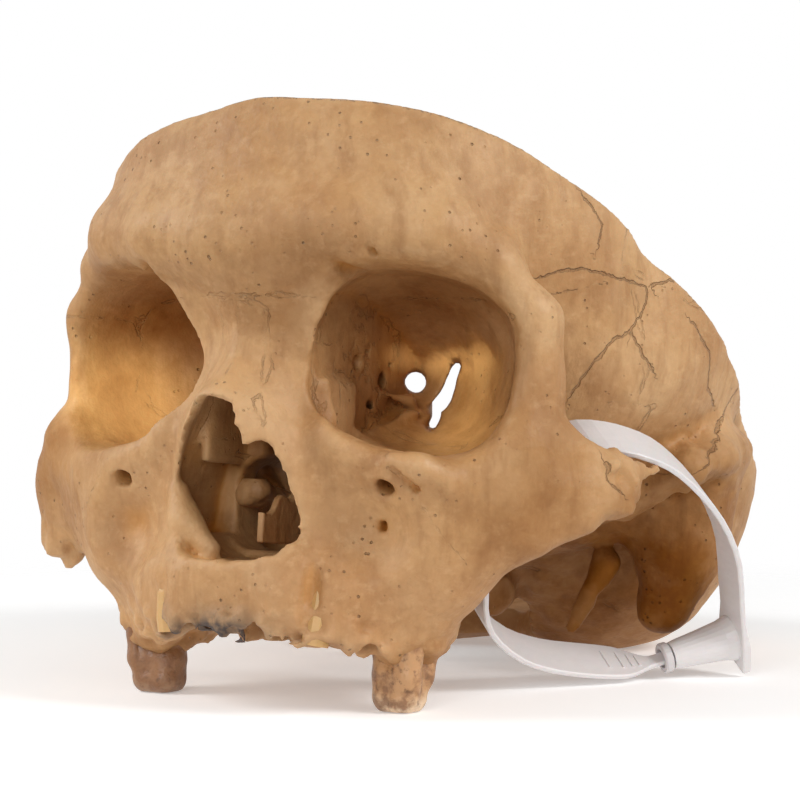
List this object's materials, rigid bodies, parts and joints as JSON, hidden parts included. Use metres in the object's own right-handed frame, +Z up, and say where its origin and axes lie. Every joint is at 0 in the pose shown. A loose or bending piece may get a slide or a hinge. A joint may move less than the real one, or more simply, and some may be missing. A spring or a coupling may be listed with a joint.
{
  "type": "partial human skull",
  "caption": "Dry human skull with the vault sawn off, resting on worn molars and the occiput, with a pull-tight plastic tag hung on the broken cheek arch.",
  "frame": {"origin": "centre of the bounding box's bottom face, on the table", "axes": "+Z up from the table, +Y to the back of the head, +X to the skull's own left"},
  "size_m": [0.1454, 0.182, 0.1203],
  "materials": {
    "bone": "dry, waxed bone, tan with darker stains",
    "tooth": "worn tooth, part glossy",
    "tag_plastic": "pale grey moulded plastic, satin",
    "collar_plastic": "pale grey insert"
  },
  "bodies": {
    "skull": {"frontal": "bone", "parietal_fragment_left": "bone", "parietal_fragment_right": "bone", "parietal_left": "bone", "parietal_right": "bone", "occipital": "bone", "temporal_left": "bone", "temporal_right": "bone", "sphenoid": "bone", "ethmoid": "bone", "zygomatic_left": "bone", "zygomatic_right": "bone", "maxilla_left": "bone", "maxilla_right": "bone", "nasal_left": "bone", "nasal_right": "bone", "lacrimal_left": "bone", "lacrimal_right": "bone", "palatine_left": "bone", "palatine_right": "bone", "vomer": "bone", "inferior_concha_left": "bone", "inferior_concha_right": "bone", "molar_left": "tooth", "molar_right": "tooth", "canine_root_left": "tooth", "canine_root_right": "tooth"},
    "tag": {"tag_strap": "tag_plastic", "tag_lock_collar": "collar_plastic"}
  },
  "joints": [
    {"name": "tag_swing", "type": "hinge", "parent": "skull", "child": "tag", "pos_m": [0.05863, -0.0324, 0.04925], "axis": [0.658, -0.5398, -0.5251], "range_deg": [0, 7]}
  ]
}
